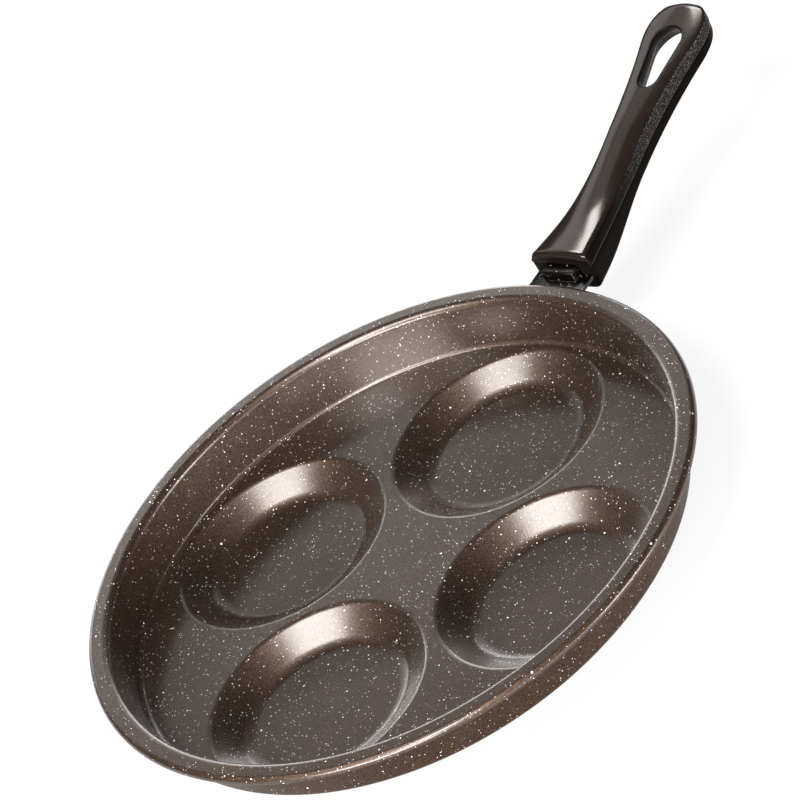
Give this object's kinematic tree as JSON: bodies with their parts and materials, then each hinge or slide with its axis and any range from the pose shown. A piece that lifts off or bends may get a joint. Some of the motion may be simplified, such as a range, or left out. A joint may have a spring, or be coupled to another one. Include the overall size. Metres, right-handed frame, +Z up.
{
  "type": "pancake pan",
  "caption": "Round pressed pancake pan with flat-bottomed cups sunk in its floor, a flat turned-down rim, and a waisted two-shell handle on a welded bracket.",
  "frame": {"origin": "middle of the bounding box in X and Y, on the plane that the four cup bottoms stand on", "axes": "+X from the pan out along the handle, +Z up, +Y to the left of the handle"},
  "size_m": [0.398, 0.26, 0.0594],
  "materials": {
    "speckled_coating": "semi-gloss taupe non-stick coating with cream speckles on pressed steel",
    "dark_resin": "glossy black-brown phenolic resin",
    "zinc_steel": "zinc plated",
    "brass": "turned"
  },
  "bodies": {
    "root": {"pan_body": "speckled_coating", "handle_bracket": "speckled_coating", "handle_top_shell": "dark_resin", "handle_bottom_shell": "dark_resin", "front_screw": "zinc_steel", "front_washer": "zinc_steel", "front_insert": "brass", "rear_screw": "zinc_steel", "rear_washer": "zinc_steel", "rear_insert": "brass"}
  },
  "joints": []
}
